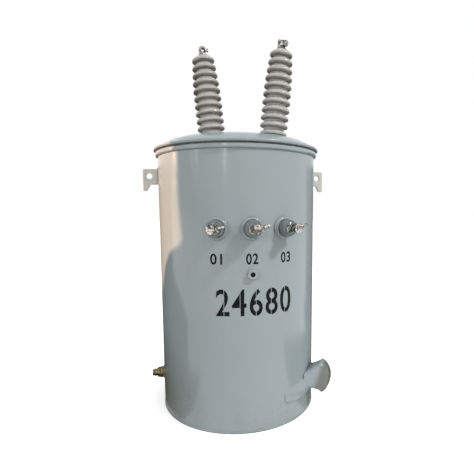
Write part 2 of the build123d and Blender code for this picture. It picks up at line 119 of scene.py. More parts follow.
def camera_matrix(position, heading, pitch, roll):
    """Camera pose; heading turns from +Y towards +X, pitch is downward, in degrees."""
    h, p, r = (math.radians(a) for a in (heading, pitch, roll))
    forward = Vector((math.sin(h) * math.cos(p), math.cos(h) * math.cos(p), -math.sin(p)))
    level_right = forward.cross(UP).normalized()
    level_up = level_right.cross(forward)
    right = level_right * math.cos(r) + level_up * math.sin(r)
    up = right.cross(forward)
    matrix = Matrix((right, up, -forward)).transposed().to_4x4()
    matrix.translation = position
    return matrix


camera_data = bpy.data.cameras.new("camera")
camera = bpy.data.objects.new("camera", camera_data)
bpy.context.scene.collection.objects.link(camera)
bpy.context.scene.camera = camera
camera_data.sensor_width = 36.0
camera_data.lens = 29.252
camera_data.shift_x = -0.0535
camera_data.shift_y = 0.0299
camera.matrix_world = camera_matrix(CAMERA_PLACE, CAMERA_HEADING, CAMERA_PITCH, CAMERA_ROLL)
print("camera at", [round(c, 3) for c in camera.matrix_world.translation])

# %% [markdown]
# ## Finishes
# A finish is a small network of nodes, which works out a colour, a roughness and a bump
# for every point of a surface. Adding and linking nodes takes many lines of code, so a few
# helpers do it. `start` makes a material, `put` adds one node with its inputs, and `wire`
# sets or links the sockets of the shader.

# %% Start a material and add nodes
def start(name):
    """A new material with its tree and shader."""
    material = bpy.data.materials.new(name)
    material.use_nodes = True
    tree = material.node_tree
    return material, tree, tree.nodes["Principled BSDF"]


def put(tree, kind, inputs=None, **settings):
    """Add a node; inputs are values or sockets to link."""
    node = tree.nodes.new(kind)
    for name, value in settings.items():
        setattr(node, name, value)
    for key, value in (inputs or {}).items():
        if isinstance(value, bpy.types.NodeSocket):
            tree.links.new(value, node.inputs[key])
        else:
            node.inputs[key].default_value = value
    return node


def wire(tree, shader, **sockets):
    """Set or link sockets of the shader; Base_Color stands for Base Color."""
    for name, value in sockets.items():
        slot = shader.inputs[name.replace("_", " ")]
        if isinstance(value, bpy.types.NodeSocket):
            tree.links.new(value, slot)
        else:
            slot.default_value = value


print("helpers: start, put, wire")

# %% [markdown]
# Dirt, wear and clouds in the paint need masks. They could be painted on images, but
# noise in space has no seams and is as sharp close up as far away. `grain` is such a
# noise, measured in metres of the real object. `step` turns it into a mask with soft
# edges, and `blend` lays one colour over another by that mask.

# %% Masks and colours
def position(tree):
    """Where the point is on the object, in metres."""
    return put(tree, "ShaderNodeTexCoord").outputs["Object"]


def grain(tree, scale, detail=3.0, roughness=0.55, stretch=(1, 1, 1)):
    """Noise from 0 to 1; stretch above 1 makes it finer along that axis."""
    place = put(tree, "ShaderNodeMapping", {"Vector": position(tree), "Scale": stretch})
    values = {"Vector": place.outputs["Vector"], "Scale": scale, "Detail": detail}
    values["Roughness"] = roughness
    return put(tree, "ShaderNodeTexNoise", values).outputs["Fac"]


def step(tree, value, low, high, out_low=0.0, out_high=1.0):
    """Map a value from low..high to out_low..out_high, clamped and smooth."""
    values = {"Value": value, "From Min": low, "From Max": high}
    values.update({"To Min": out_low, "To Max": out_high})
    return put(tree, "ShaderNodeMapRange", values, interpolation_type="SMOOTHSTEP").outputs["Result"]


def blend(tree, mask, first, second):
    """Colour first where the mask is 0, second where it is 1."""
    node = put(tree, "ShaderNodeMix", data_type="RGBA")
    for slot, value in ((node.inputs[0], mask), (node.inputs[6], first), (node.inputs[7], second)):
        if isinstance(value, bpy.types.NodeSocket):
            tree.links.new(value, slot)
        else:
            slot.default_value = (*value, 1)
    return node.outputs[2]


print("helpers: position, grain, step, blend")

# %% [markdown]
# A few more helpers join masks, ask where the surface faces or how deep in a corner it
# is, and turn heights into bumps. `openness` sends short rays out from the surface and
# tells how much they hit nearby, which a noise alone can't know. The finishes use it to
# paint shade into corners.

# %% Arithmetic on masks
def times(tree, first, second):
    """Two values multiplied: a mask only where both masks are."""
    return put(tree, "ShaderNodeMath", {0: first, 1: second}, operation="MULTIPLY").outputs[0]


def plus(tree, first, second):
    """Two values added."""
    return put(tree, "ShaderNodeMath", {0: first, 1: second}, operation="ADD").outputs[0]


def larger(tree, first, second):
    """The larger of two values: a mask where either mask is."""
    return put(tree, "ShaderNodeMath", {0: first, 1: second}, operation="MAXIMUM").outputs[0]


def measure(tree, operation, *vectors):
    """One number from vectors: their DISTANCE or DOT_PRODUCT, or the LENGTH of one."""
    inputs = dict(enumerate(vectors))
    return put(tree, "ShaderNodeVectorMath", inputs, operation=operation).outputs["Value"]


print("helpers: times, plus, larger, measure")


# %% Directions, corners and relief
def upright_part(tree, vector):
    """The Z of a vector, such as the height of a place."""
    return put(tree, "ShaderNodeSeparateXYZ", {0: vector}).outputs["Z"]


def up_facing(tree, low, high):
    """A mask from how much the surface faces the sky."""
    normal = put(tree, "ShaderNodeNewGeometry").outputs["Normal"]
    return step(tree, upright_part(tree, normal), low, high)


def openness(tree, distance, samples=6):
    """1 in the open, less in a corner that is tighter than the distance."""
    values = {"Distance": distance}
    return put(tree, "ShaderNodeAmbientOcclusion", values, samples=samples).outputs["AO"]


def relief(tree, layers):
    """Stack bumps; each layer is a height socket and its depth in metres."""
    normal = None
    for height, depth in layers:
        values = {"Height": height, "Distance": depth, "Strength": 1.0}
        if normal:
            values["Normal"] = normal
        normal = put(tree, "ShaderNodeBump", values).outputs["Normal"]
    return normal


print("helpers: upright_part, up_facing, openness, relief")

# %% [markdown]
# ### Enamel
# The tank is sprayed with a gloss blue-grey enamel. Over the paint lie, in this order,
# faint lighter upright streaks, dust thrown up from the ground, a brown stain where oil
# has crept out round the drain, specks, scuffs, and painted shade in the corners. Each
# is one more `blend`, so any of them can be taken out alone.

# %% Colours of the enamel
ENAMEL_DARK = (0.355, 0.412, 0.430)
ENAMEL_PALE = (0.367, 0.423, 0.440)
LIGHTER_STREAK = (0.43, 0.45, 0.43)
GROUND_DUST = (0.215, 0.215, 0.175)
OIL_STAIN = (0.15, 0.13, 0.085)
SPECK = (0.20, 0.21, 0.19)
SCUFF = (0.50, 0.52, 0.51)
# painted shade, laid into corners such as the one under the bracket
PAINTED_CORNER_SHADE = (0.07, 0.075, 0.065)
print("the paint is mixed from", ENAMEL_DARK, "and", ENAMEL_PALE)

# %% Where dust and oil lie
DUST_HEIGHT = 0.15
STAIN_HEIGHT = 0.045
STAIN_INNER = 0.04
STAIN_OUTER = 0.26

drain_azimuth = azimuth_of(middle("drain_coupling"))
stain_place = wall(drain_azimuth, STAIN_HEIGHT)


def dust_mask(tree):
    """Dust from the ground, thinner with height and broken up by noise."""
    height = upright_part(tree, position(tree))
    patches = step(tree, grain(tree, 18.0, 6.0), 0.3, 0.7)
    return times(tree, step(tree, height, 0.0, DUST_HEIGHT, 1.0, 0.0), patches)


def stain_mask(tree):
    """A stain round the drain, which fades with distance."""
    away = measure(tree, "DISTANCE", position(tree), stain_place)
    patches = step(tree, grain(tree, 12.0, 5.0), 0.2, 0.6, 0.7, 1.0)
    return times(tree, step(tree, away, STAIN_INNER, STAIN_OUTER, 0.62, 0.0), patches)


print("the stain is centred at", [round(c, 3) for c in stain_place])


# %% Lay the marks over the paint
def enamel_colour(tree, dust):
    """Cloudy paint, and then each mark over the ones before it."""
    cloud = step(tree, grain(tree, 5.0, 4.0), 0.35, 0.65)
    colour = blend(tree, cloud, ENAMEL_DARK, ENAMEL_PALE)
    # Faint lighter upright streaks, drawn tall by the stretched noise.
    upright_streaks = step(tree, grain(tree, 26.0, 4.0, 0.6, (1, 1, 0.05)), 0.52, 0.74, 0.0, 0.07)
    colour = blend(tree, upright_streaks, colour, LIGHTER_STREAK)
    colour = blend(tree, times(tree, dust, 0.22), colour, GROUND_DUST)
    colour = blend(tree, stain_mask(tree), colour, OIL_STAIN)
    specks = step(tree, grain(tree, 300.0, 2.0), 0.72, 0.78, 0.0, 0.25)
    colour = blend(tree, specks, colour, SPECK)
    scuffs = step(tree, grain(tree, 60.0, 8.0, 0.7), 0.68, 0.74, 0.0, 0.12)
    colour = blend(tree, scuffs, colour, SCUFF)
    # Painted shade in the corners that the short rays find.
    painted_shade = step(tree, openness(tree, 0.028), 0.25, 0.72, 0.8, 0.0)
    return blend(tree, painted_shade, colour, PAINTED_CORNER_SHADE)


print("seven layers of colour")

# %% [markdown]
# Close up, sprayed enamel has the fine dimples called orange peel. Over a hand's width the
# rolled sheet under it waves a little, so reflections wander. Both are far too shallow to
# model as faces, so they are bumps of a few microns and of half a millimetre. Weld beads
# get a coarser layer below the same paint, and dusty places are less glossy.

# %% Enamel
PEEL_DEPTH = 0.000006
WAVE_DEPTH = 0.0005
WELD_DEPTH = 0.0012


def enamel(name, weld=False):
    """The whole finish; weld adds the coarse skin of a bead."""
    material, tree, shader = start(name)
    dust = dust_mask(tree)
    colour = enamel_colour(tree, dust)
    rough = step(tree, grain(tree, 40.0, 5.0), 0.3, 0.75, 0.15, 0.22)
    rough = plus(tree, rough, times(tree, dust, 0.25))
    peel = grain(tree, 260.0, 1.0)
    waves = grain(tree, 7.0, 1.0, 0.5, (1, 1, 0.5))
    layers = [(waves, WAVE_DEPTH), (peel, PEEL_DEPTH)]
    if weld:
        layers = [(grain(tree, 90.0, 3.0), WELD_DEPTH)] + layers
    wire(tree, shader, Base_Color=colour, Roughness=rough, Normal=relief(tree, layers), IOR=1.45)
    return material, tree, shader


def lay_over(tree, shader, mask, colour):
    """Lay one more colour over the one that the shader already has."""
    below = shader.inputs["Base Color"].links[0].from_socket
    wire(tree, shader, Base_Color=blend(tree, mask, below, colour))


paint = enamel("tank_enamel")[0]
weld_paint = enamel("weld_enamel", weld=True)[0]
print("made", paint.name, "and", weld_paint.name)

# %% [markdown]
# The lifting lugs are made paler than the wall, as painted light. They could have a paint
# of their own, but the pale colour is only a film, so it is laid over the same enamel and
# lets a little of it through.

# %% Paler enamel for the lugs, as painted light
PAINTED_LUG_LIGHT = (0.68, 0.67, 0.64)

lug_paint, tree, shader = enamel("lug_enamel")
# Painted light: a pale film over most of each lug.
lay_over(tree, shader, step(tree, grain(tree, 55.0, 5.0), 0.2, 0.7, 0.8, 1.0), PAINTED_LUG_LIGHT)
print("made", lug_paint.name)

# %% [markdown]
# ### Porcelain
# The high-voltage bushings have a warm grey glaze. Dust lies on the upper faces of the
# sheds and dulls them, and their paler colour there is also painted top light. The
# undersides get painted shade, tinted brown, and the hollows between the sheds get the
# darkest painted shade. So the masks ask which way the surface faces and how deep in a
# corner it is. The glaze itself is smooth, with a very slow ripple.

# %% Porcelain glaze
GLAZE_DARK = (0.44, 0.43, 0.405)
GLAZE_PALE = (0.50, 0.485, 0.46)
GLAZE_DUST_AND_TOP_LIGHT = (0.70, 0.685, 0.655)
UNDERSIDE_PAINTED_SHADE = (0.175, 0.162, 0.145)
HOLLOW_PAINTED_SHADE = (0.11, 0.10, 0.088)

glaze, tree, shader = start("porcelain_glaze")
cloud = step(tree, grain(tree, 30.0, 4.0), 0.3, 0.7)
colour = blend(tree, cloud, GLAZE_DARK, GLAZE_PALE)
# Pale dust on the up-facing sheds, which is also painted top light.
dust = times(tree, up_facing(tree, 0.1, 0.9), step(tree, grain(tree, 90.0, 6.0), 0.25, 0.7, 0.15, 0.7))
colour = blend(tree, dust, colour, GLAZE_DUST_AND_TOP_LIGHT)
# Painted shade on the undersides, tinted brown and broken up by noise.
painted_shade = step(tree, grain(tree, 55.0, 5.0), 0.35, 0.7, 0.45, 0.9)
colour = blend(tree, times(tree, up_facing(tree, 0.0, -0.7), painted_shade), colour, UNDERSIDE_PAINTED_SHADE)
# Painted shade in the hollows between the sheds.
hollow = step(tree, openness(tree, 0.020), 0.15, 0.75, 0.5, 0.0)
colour = blend(tree, hollow, colour, HOLLOW_PAINTED_SHADE)
rough = plus(tree, times(tree, dust, 0.45), 0.14)
wire(tree, shader, Base_Color=colour, Roughness=rough, IOR=1.55)
wire(tree, shader, Normal=relief(tree, [(grain(tree, 120.0, 2.0), 0.0002)]))
print("made", glaze.name)

# %% [markdown]
# ### Resin and rubber
# The low-voltage bushings are cast in a satin grey resin with a fine pebbled skin. Rubber
# gaskets show only as thin edges. The ones on the tank were painted over by the spray, so
# they are a dark grey, and the ones under the porcelain are bare black rubber.

# %% Resin and rubber
def mottled(name, scale, detail, dark, pale, **sockets):
    """A plain matt finish: two near colours mixed by noise, and fixed sockets."""
    material, tree, shader = start(name)
    cloud = step(tree, grain(tree, scale, detail), 0.3, 0.7)
    wire(tree, shader, Base_Color=blend(tree, cloud, dark, pale), **sockets)
    return material, tree, shader


resin, tree, shader = mottled("bushing_resin", 70.0, 5.0, (0.15, 0.18, 0.187), (0.205, 0.235, 0.24))
wire(tree, shader, Roughness=step(tree, grain(tree, 200.0), 0.3, 0.7, 0.32, 0.5))
wire(tree, shader, Normal=relief(tree, [(grain(tree, 500.0), 0.00008)]))

RUBBER = ((0.035, 0.037, 0.036), (0.075, 0.078, 0.074))
OVERSPRAY = ((0.08, 0.09, 0.09), (0.16, 0.18, 0.18))
rubber = mottled("gasket_rubber", 150.0, 5.0, *RUBBER, Roughness=0.75)[0]
oversprayed = mottled("oversprayed_gasket", 120.0, 5.0, *OVERSPRAY, Roughness=0.7)[0]
print("made", resin.name, rubber.name, oversprayed.name)

# %% [markdown]
# ### Stencil paint and the dark hole
# The numbers are brushed on through a stencil in black, thin and a little worn. The tapped
# hole of the ground boss and its thread are painted nearly black, as painted shade. Both
# have a low index of refraction, which keeps bright reflections off them, so that they
# stay dark.

# %% Stencil paint and the dark hole
FULL_BLACK = (0.004, 0.006, 0.007)
WORN_BLACK = (0.04, 0.05, 0.055)
PAINTED_HOLE_SHADE = ((0.006, 0.006, 0.005), (0.02, 0.018, 0.015))

stencil, tree, shader = start("stencil_black")
worn = step(tree, grain(tree, 160.0, 7.0, 0.7), 0.62, 0.74, 0.0, 0.3)
rough = step(tree, grain(tree, 90.0), 0.3, 0.7, 0.45, 0.7)
wire(tree, shader, Base_Color=blend(tree, worn, FULL_BLACK, WORN_BLACK), Roughness=rough, IOR=1.2)
wire(tree, shader, Normal=relief(tree, [(grain(tree, 400.0), 0.0001)]))

# Painted shade: the tapped hole is painted nearly black.
dark_hole = mottled("painted_shade_hole", 300.0, 3.0, *PAINTED_HOLE_SHADE, Roughness=0.6, IOR=1.3)[0]
print("made", stencil.name, dark_hole.name)

# %% [markdown]
# ### Metals
# The terminals are tinned: bright, cloudy, with dark pits, and nearly black with painted
# shade in their corners. Bare threads are duller. The drain is brass that has gone brown.
# They differ only in numbers, so one function makes all three.

# %% Metals
PAINTED_CREVICE_SHADE = (0.012, 0.011, 0.009)


def metal(name, bright, dull, amount, rough_low, rough_high, scale=160.0):
    """Bright metal with dull clouds, dark pits and painted shade in the corners."""
    material, tree, shader = start(name)
    clouds = step(tree, grain(tree, scale, 6.0, 0.65), 0.44, 0.58, 0.0, amount)
    colour = blend(tree, clouds, bright, dull)
    pits = step(tree, grain(tree, scale * 4, 3.0), 0.62, 0.72, 0.0, 0.7)
    colour = blend(tree, pits, colour, tuple(c * 0.25 for c in dull))
    # Painted shade: corners that the short rays find are made nearly black.
    crevice_shade = step(tree, openness(tree, 0.012, 8), 0.25, 0.85, 0.92, 0.0)
    colour = blend(tree, crevice_shade, colour, PAINTED_CREVICE_SHADE)
    rough = step(tree, grain(tree, scale * 0.7, 4.0), 0.3, 0.7, rough_low, rough_high)
    wire(tree, shader, Base_Color=colour, Roughness=rough, Metallic=1.0)
    wire(tree, shader, Normal=relief(tree, [(grain(tree, scale * 2, 3.0), 0.00025)]))
    return material


tin = metal("tinned", (0.50, 0.49, 0.455), (0.05, 0.046, 0.038), 0.95, 0.14, 0.32, 130.0)
dark_tin = metal("tinned_threads", (0.50, 0.48, 0.44), (0.16, 0.15, 0.13), 0.7, 0.3, 0.5)
brass = metal("drain_brass", (0.25, 0.205, 0.11), (0.085, 0.066, 0.035), 0.8, 0.3, 0.5, 90.0)
print("made", tin.name, dark_tin.name, brass.name)

# %% [markdown]
# ## Finish the frame
# Every node of the frame gets its finish here, also those that a finer mesh will stand in
# for further down. The name of a node says what part of the tank it is, so one function
# can choose for all of them, and no node is left bare.

# %% Give every node its finish
TINNED_NODES = ("hv_stud", "hv_eye", "hv_screw", "lv_stud", "lv_eye", "lv_screw")


def finish_of(name):
    """The finish of a node, from the part of the tank that its name says."""
    if name.startswith("hv_porcelain"):
        return glaze
    if name == "cover_gasket" or name.startswith("lv_gasket"):
        return oversprayed
    if "gasket" in name:
        return rubber
    if name.startswith("lv_insulator"):
        return resin
    if name.startswith(TINNED_NODES):
        return tin
    if name in ("drain_body", "drain_plug"):
        return brass
    return paint


for name, node in nodes.items():
    node.data.materials.clear()
    node.data.materials.append(finish_of(name))
print("finished", len(nodes), "nodes")

# %% [markdown]
# ## Mesh helpers
# `piece` turns points and faces into an object that rides on the tank. Its normals are
# worked out once, and edges that turn sharply stay sharp while the rest is shaded smooth.

# %% Make a piece
def placed(name, mesh, material, smooth=35.0):
    """An object of the mesh, which rides on the tank; smooth is an angle in degrees."""
    obj = bpy.data.objects.new(name, mesh)
    bpy.context.scene.collection.objects.link(obj)
    mesh.materials.clear()
    mesh.materials.append(material)
    mesh.shade_smooth()
    mesh.set_sharp_from_angle(angle=math.radians(smooth))
    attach(obj, "root")
    return obj


def piece(name, points, faces, material, smooth=35.0):
    """An object from points and faces, with doubled points merged."""
    mesh = bpy.data.meshes.new(name)
    mesh.from_pydata([tuple(p) for p in points], [], faces)
    shape = bmesh.new()
    shape.from_mesh(mesh)
    bmesh.ops.remove_doubles(shape, verts=shape.verts, dist=1e-6)
    bmesh.ops.recalc_face_normals(shape, faces=shape.faces)
    shape.to_mesh(mesh)
    shape.free()
    return placed(name, mesh, material, smooth)


print("helpers: placed, piece")

# %% [markdown]
# Tubes, lathed rings and pressed sheets are all the same thing to a mesh: rows of points
# with a skin of four-sided faces between them. So one helper makes the skin for all.

# %% Skin rows of points
def skin(rows, count, close=False):
    """Faces that join row after row of points; close joins the last row to the first."""
    faces = []
    for i in range(rows if close else rows - 1):
        j = (i + 1) % rows
        for k in range(count):
            m = (k + 1) % count
            faces.append((i * count + k, i * count + m, j * count + m, j * count + k))
    return faces


def end_caps(rows, count):
    """One face at each end of a tube."""
    return [tuple(range(count)), tuple((rows - 1) * count + k for k in range(count))]


print("helpers: skin, end_caps")

# %% [markdown]
# Most fittings here are round, and a turner's way makes them: `lathe` turns a profile
# about an axis. A screw modifier would do the same, but points worked out in code stand
# on any leaning axis straight away. `basis` gives the two directions square to that axis.

# %% Lathe
def basis(axis):
    """Two unit vectors square to the axis; the first is as near to upright as it can be."""
    axis = axis.normalized()
    hint = Vector((1, 0, 0)) if abs(axis.dot(UP)) > 0.99 else UP
    first = (hint - axis * hint.dot(axis)).normalized()
    return first, axis.cross(first)


def lathe(name, profile, origin, axis, material, segments, smooth=35.0, close=False):
    """Turn (radius, height) points about an axis; close joins the last point to the first."""
    axis = axis.normalized()
    first, second = basis(axis)
    points = []
    for radius, height in profile:
        for k in range(segments):
            turn = 2 * math.pi * k / segments
            side = first * math.cos(turn) + second * math.sin(turn)
            points.append(origin + axis * height + side * radius)
    return piece(name, points, skin(len(profile), segments, close), material, smooth)


print("helpers: basis, lathe")

# %% [markdown]
# ## Softer edges
# Forged, cast and pressed parts have no knife edges: each corner catches a thin line of
# light. Modelling them again with rounded corners would risk a change of shape. So
# `softened` copies the node's own mesh, bevels its sharp edges by about a millimetre, and
# stands in for the node.

# %% Soften a node
SHARP_EDGE = math.radians(32)


def softened(node, width, material, segments=3):
    """The node's own shape with its sharp edges rounded, standing in for the node."""
    mesh = nodes[node].data.copy()
    shape = bmesh.new()
    shape.from_mesh(mesh)
    bmesh.ops.remove_doubles(shape, verts=shape.verts, dist=1e-5)
    flat = math.radians(1.0)
    bmesh.ops.dissolve_limit(shape, angle_limit=flat, verts=shape.verts, edges=shape.edges)
    sharp = [e for e in shape.edges if e.is_manifold and e.calc_face_angle(0) > SHARP_EDGE]
    bmesh.ops.bevel(shape, geom=sharp, offset=width, segments=segments, profile=0.5, affect="EDGES")
    shape.to_mesh(mesh)
    shape.free()
    obj = placed(node + "_soft", mesh, material)
    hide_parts(node)
    return obj


print("edges sharper than", round(math.degrees(SHARP_EDGE)), "degrees are rounded")

# %% Soften the lugs, bosses, terminals and drain
soft = []
for side in ("left", "right"):
    soft.append(softened("lifting_lug_" + side, 0.0014, lug_paint))
    soft.append(softened("hv_eye_" + side, 0.0009, tin))
    soft.append(softened("hv_screw_" + side, 0.0004, tin, segments=2))
    soft.append(softened("hv_stud_" + side, 0.0005, tin, segments=2))
for k in "123":
    soft.append(softened("lv_boss_" + k, 0.0022, paint))
    soft.append(softened("lv_eye_" + k, 0.0009, tin))
    soft.append(softened("lv_screw_" + k, 0.0004, tin, segments=2))
    soft.append(softened("lv_stud_" + k, 0.0006, tin, segments=2))
soft.append(softened("drain_coupling", 0.0012, brass))
soft.append(softened("drain_body", 0.0006, brass, segments=2))
soft.append(softened("drain_plug", 0.0005, brass, segments=2))
print("softened", len(soft), "lugs, bosses, terminals and drain pieces")

# %% [markdown]
# ## Weld beads
# The lugs, the drain coupling, the ground boss and the bottom are welded on and then
# painted over. A bead is a round rope of metal that swells and thins as the welder's hand
# moves. A bevelled curve would be too even, so `weld` drags a small ring of points along
# a path and lets noise change its size. Bump alone would leave the outline of the joint
# straight.

# %% Weld bead
BEAD_SIDES = 10
BEAD_END = 0.35


def weld(name, path, radius, rough, closed=False):
    """A bead along a path; rough is how much its thickness wanders."""
    points = []
    count = len(path)
    for i, here in enumerate(path):
        before = path[(i - 1) % count] if closed or i else here
        after = path[(i + 1) % count] if closed or i < count - 1 else here
        first, second = basis((after - before).normalized())
        ripple = abs(math.sin(i * math.pi * 0.5))
        size = radius * (1 + rough * noise.noise(here * 90) + rough * 0.5 * ripple)
        if not closed and i in (0, count - 1):
            size *= BEAD_END
        for k in range(BEAD_SIDES):
            turn = 2 * math.pi * k / BEAD_SIDES
            points.append(here + (first * math.cos(turn) + second * math.sin(turn)) * size)
    faces = skin(count, BEAD_SIDES, closed)
    if not closed:
        faces += end_caps(count, BEAD_SIDES)
    return piece(name, points, faces, weld_paint, 60.0)


print("beads have", BEAD_SIDES, "sides")


# %% Paths for the beads
BEAD_STEP = 0.003


def trail(corners):
    """Points every few millimetres along straight runs between corners."""
    points = []
    for here, there in zip(corners, corners[1:]):
        count = max(2, round((there - here).length / BEAD_STEP))
        points += [here.lerp(there, k / count) for k in range(count)]
    return points + [corners[-1]]


def ring_on_wall(centre, radius):
    """Points round a fitting, laid on the curved wall."""
    points = []
    count = round(2 * math.pi * radius / BEAD_STEP)
    for k in range(count):
        turn = 2 * math.pi * k / count
        across = math.degrees(radius * math.cos(turn) / tank_radius)
        points.append(wall(azimuth_of(centre) + across, centre.z + radius * math.sin(turn)))
    return points


print("a point every", BEAD_STEP, "m along each bead")

# %% [markdown]
# A lug's bead goes up one side, over the top and down the other. The coupling and the boss
# have a ring each. The bottom has one bead all the way round. The wall is one rolled
# sheet, so it has one upright seam, which makers turn to the back.

# %% Lay the beads
LUG_WELD_LENGTH = 0.044

for side, sign in (("left", -1), ("right", 1)):
    low, high = corners_of("lifting_lug_" + side)
    x = sign * (tank_radius + 0.0008)
    half = (high.y - low.y) / 2 + 0.0006
    bottom = high.z - LUG_WELD_LENGTH
    corners = [Vector((x, -half, bottom)), Vector((x, -half, high.z))]
    corners += [Vector((x, half, high.z)), Vector((x, half, bottom))]
    weld("weld_lug_" + side, trail(corners), radius=0.0024, rough=0.35)

drain_ring = ring_on_wall(middle("drain_coupling"), 0.0176)
weld("weld_drain", drain_ring, radius=0.0022, rough=0.3, closed=True)
boss_ring = ring_on_wall(middle("ground_boss"), 0.0138)
weld("weld_ground", boss_ring, radius=0.0016, rough=0.3, closed=True)
seam = [wall(180, 0.003 + BEAD_STEP * k, lift=-0.0008) for k in range(255)]
weld("weld_back_seam", seam, radius=0.0022, rough=0.25)
foot = [wall(k * 0.75, 0.0035, lift=-0.0012) for k in range(480)]
weld("weld_foot", foot, radius=0.0024, rough=0.2, closed=True)
print("welded the lugs, coupling, boss, seam and foot")

# %% [markdown]
# ## Porcelain
# A bushing is a stack of ten thick sheds with drooping rims, which keep the rain from
# making one wet path from the wire to the tank. It is fired in one piece, so it is one
# lathe profile: the same shed outline ten times, with a radius for each, since the upper
# ones get smaller. Separate discs would leave joints that the real one doesn't have.

# %% Shape of the porcelain
# radius of each shed from the lowest up, in millimetres
SHED_RADII = [43.0, 43.2, 43.2, 43.2, 43.0, 42.6, 41.4, 39.4, 37.2, 34.8]
# outline of one shed: out from that radius, and up from the shed's middle
SHED_OUTLINE = [(-12.0, -11.2), (-6.0, -9.8), (-2.2, -8.9), (-0.6, -7.6), (0.0, -5.4), (-0.3, -2.8)]
SHED_OUTLINE += [(-1.4, -0.6), (-4.0, 1.6), (-8.0, 4.6), (-11.6, 8.0), (-12.6, 9.8)]
SKIRT = [(20.0, 0.0), (40.6, 0.0), (41.5, 1.0), (41.5, 7.6), (40.2, 9.0), (34.0, 11.5), (31.5, 14.5)]
FIRST_SHED = 32.3
SHED_PITCH = 23.1
TOP_ABOVE_LAST_SHED = 9.0

profile = list(SKIRT)
for k, radius in enumerate(SHED_RADII):
    centre = FIRST_SHED + SHED_PITCH * k
    profile += [(radius + out, centre + up) for out, up in SHED_OUTLINE]
top = FIRST_SHED + SHED_PITCH * (len(SHED_RADII) - 1) + TOP_ABOVE_LAST_SHED
profile[-2:] = [(24.0, top - 4.0), (22.6, top - 1.0), (21.0, top), (6.5, top)]
porcelain_profile = [(r / 1000, h / 1000) for r, h in profile]
print("profile of", len(porcelain_profile), "points,", round(top / 1000, 4), "m high")

# %% [markdown]
# Each profile is turned about its own leaning axis. Glazed clay shrinks unevenly in the
# kiln, so a slow ripple of half a millimetre moves the outer points in or out, and no two
# sheds are quite the same.

# %% Turn the two high-voltage porcelains
HALF_GASKET = 0.00125
RIPPLE = 0.0006
RIPPLE_OUTSIDE = 0.026


def bushing_axis(side):
    """Foot and direction of a bushing's axis, from its gasket and its stud."""
    low = middle("hv_gasket_" + side)
    axis = (middle("hv_stud_" + side) - low).normalized()
    return low + axis * HALF_GASKET, axis


for side in ("left", "right"):
    base, axis = bushing_axis(side)
    name = "porcelain_" + side
    profile = porcelain_profile
    glazed = lathe(name, profile, base, axis, glaze, segments=112, smooth=50.0)
    for vertex in glazed.data.vertices:
        foot = base + axis * (vertex.co - base).dot(axis)
        ripple = RIPPLE * noise.noise(vertex.co * 32)
        away = vertex.co - foot
        if away.length > RIPPLE_OUTSIDE:
            vertex.co += away.normalized() * ripple
    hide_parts("hv_porcelain_" + side)
print("turned two porcelains,", len(SHED_RADII), "sheds each")

# %% [markdown]
# ## Pole bracket
# The bracket is one pressing: a trumpet that stands on the wall, wide at the wall and
# narrow at its waist, with a rounded face at its mouth, a slot for the bolt, and two pads
# that wrap the wall. A box with bevels can't flare like that. `loft` skins a row of
# closed sections, and each section is a superellipse: a power of 2 makes it an ellipse,
# and a higher power a rectangle with ever tighter corners.

# %% Sections and loft
SECTION_POINTS = 56


def section(centre, across, up, half_width, half_height, power, bulge=None):
    """A superellipse of points; bulge may move each of them."""
    points = []
    for k in range(SECTION_POINTS):
        turn = 2 * math.pi * k / SECTION_POINTS
        c, s = math.cos(turn), math.sin(turn)
        x = half_width * math.copysign(abs(c) ** (2 / power), c)
        y = half_height * math.copysign(abs(s) ** (2 / power), s)
        point = centre + across * x + up * y
        points.append(point + bulge(x, y) if bulge else point)
    return points


def loft(name, sections, material, caps=True, smooth=60.0):
    """Skin a row of sections; caps close its ends."""
    count = len(sections[0])
    points = [p for ring in sections for p in ring]
    faces = skin(len(sections), count)
    if caps:
        faces += end_caps(len(sections), count)
    return piece(name, points, faces, material, smooth)


print("helpers: section, loft")

# %% [markdown]
# The face at the mouth of the bracket is painted darker than the rest, as painted shade.
# The mask measures how far a point reaches out from the tank, along a direction that
# slants down, so that the painted shade comes further back below than above.

# %% Enamel with painted shade at the mouth
MOUTH_SLANT = 0.30
PAINTED_MOUTH_SHADE = (0.165, 0.165, 0.138)
MOUTH_SHADE_STARTS = 0.040
MOUTH_SHADE_FULL = 0.019

pole_place = mounts["pole"]
bracket_azimuth = azimuth_of(pole_place)
bracket_out = outward(bracket_azimuth)
bracket_across = UP.cross(bracket_out)

mouth_paint, tree, shader = enamel("bracket_enamel")
slanted = bracket_out - UP * MOUTH_SLANT
edge = pole_place.dot(slanted)
reach = measure(tree, "DOT_PRODUCT", position(tree), slanted)
reach = plus(tree, reach, times(tree, grain(tree, 45.0, 5.0), 0.006))
# Painted shade over the face of the mouth.
mouth_shade = step(tree, reach, edge - MOUTH_SHADE_STARTS, edge - MOUTH_SHADE_FULL)
lay_over(tree, shader, times(tree, mouth_shade, 0.85), PAINTED_MOUTH_SHADE)
print("made", mouth_paint.name, "for a bracket at azimuth", round(bracket_azimuth, 1))

# %% [markdown]
# The sections run from the wall out to the face, in through the slot and back inside to
# the wall. Near the mouth their middle stays out while their top and bottom are set
# back, which rounds the face as a bent sheet is rounded.

